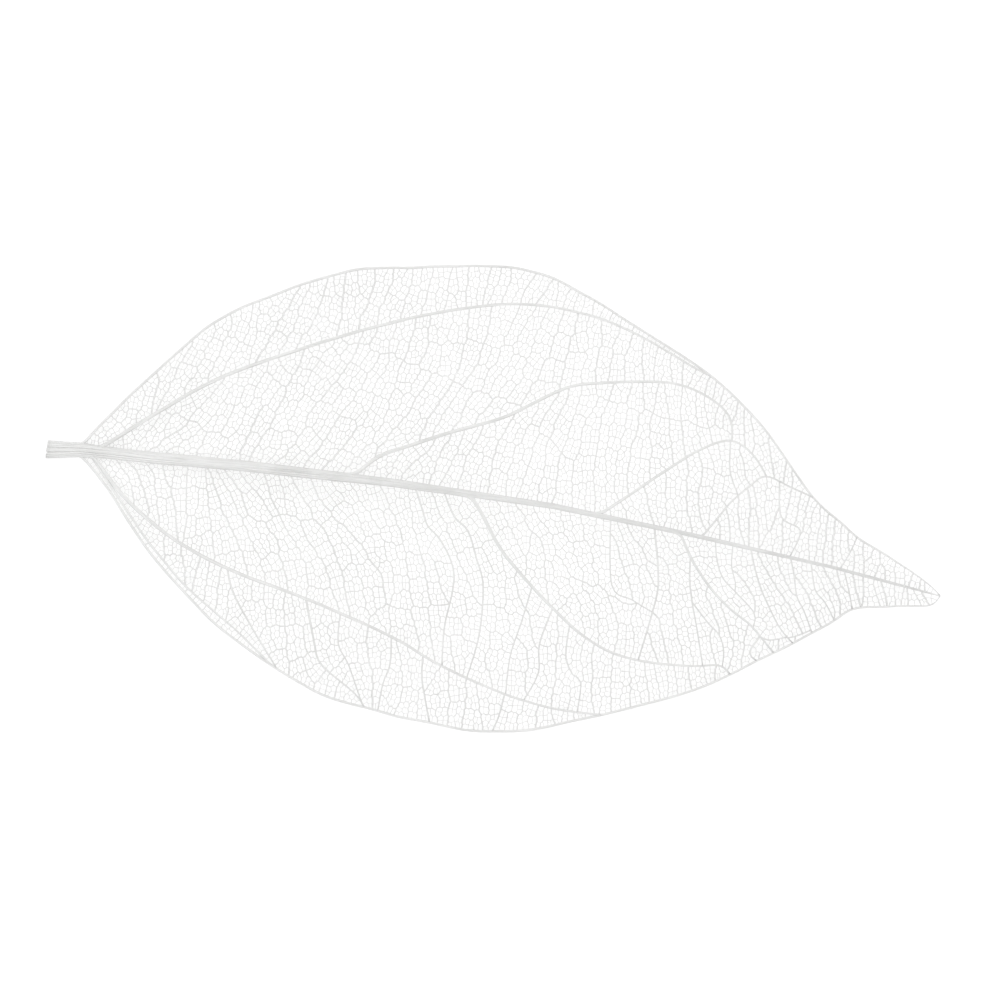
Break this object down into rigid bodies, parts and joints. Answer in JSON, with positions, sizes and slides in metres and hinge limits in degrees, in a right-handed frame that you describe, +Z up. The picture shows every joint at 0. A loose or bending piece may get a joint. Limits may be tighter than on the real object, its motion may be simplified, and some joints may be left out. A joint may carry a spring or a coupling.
{
  "type": "skeleton leaf",
  "caption": "Skeleton leaf: the bleached veins of one pointed oval leaf, an open net round a midrib, with a short stalk.",
  "frame": {"origin": "under the foot of the blade, where the stalk begins, on the surface that the leaf lies on", "axes": "+X along the leaf from stalk to tip, +Y across it, +Z up from the surface"},
  "size_m": [0.0959, 0.0497, 0.0067],
  "materials": {
    "vein": "bleached, matt and finely fibrous"
  },
  "bodies": {
    "root": {"skeleton_leaf": "vein"}
  },
  "joints": []
}
